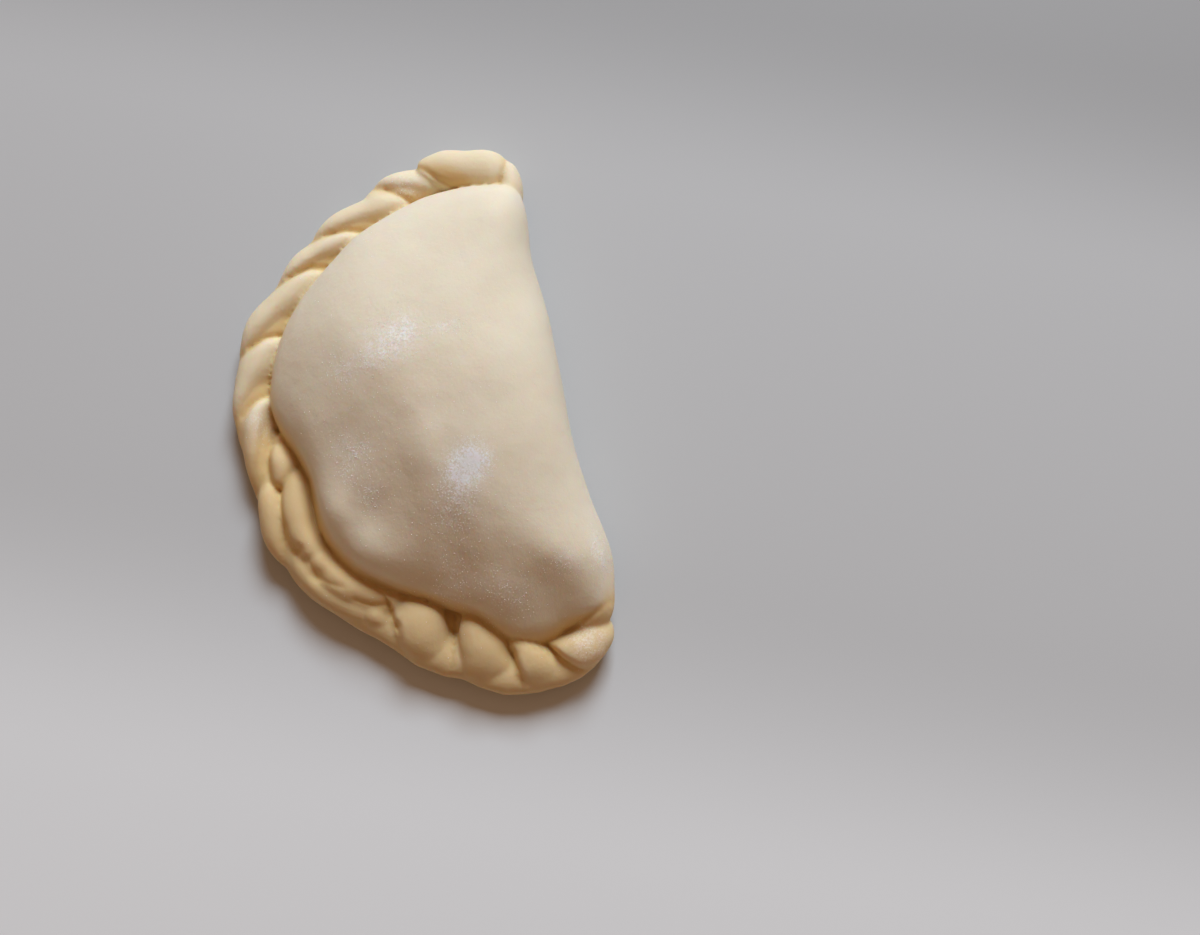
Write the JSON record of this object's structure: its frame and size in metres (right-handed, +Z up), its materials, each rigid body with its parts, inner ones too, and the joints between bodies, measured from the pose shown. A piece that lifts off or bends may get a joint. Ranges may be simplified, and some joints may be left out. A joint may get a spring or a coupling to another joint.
{
  "type": "raw empanada",
  "caption": "Raw half-moon turnover of pale dough, domed over its filling, its curved edge folded over into a rope of slanting tucks.",
  "frame": {"origin": "under the middle of the outline, on the surface that the empanada lies on", "axes": "+X along its length, from the narrow end to the plump end; +Y from the roped edge to the smooth fold; +Z up"},
  "size_m": [0.1204, 0.0742, 0.0277],
  "materials": {
    "dough": "soft raw wheat dough, matt, with a little dry flour on it"
  },
  "bodies": {
    "root": {"empanada": "dough"}
  },
  "joints": []
}
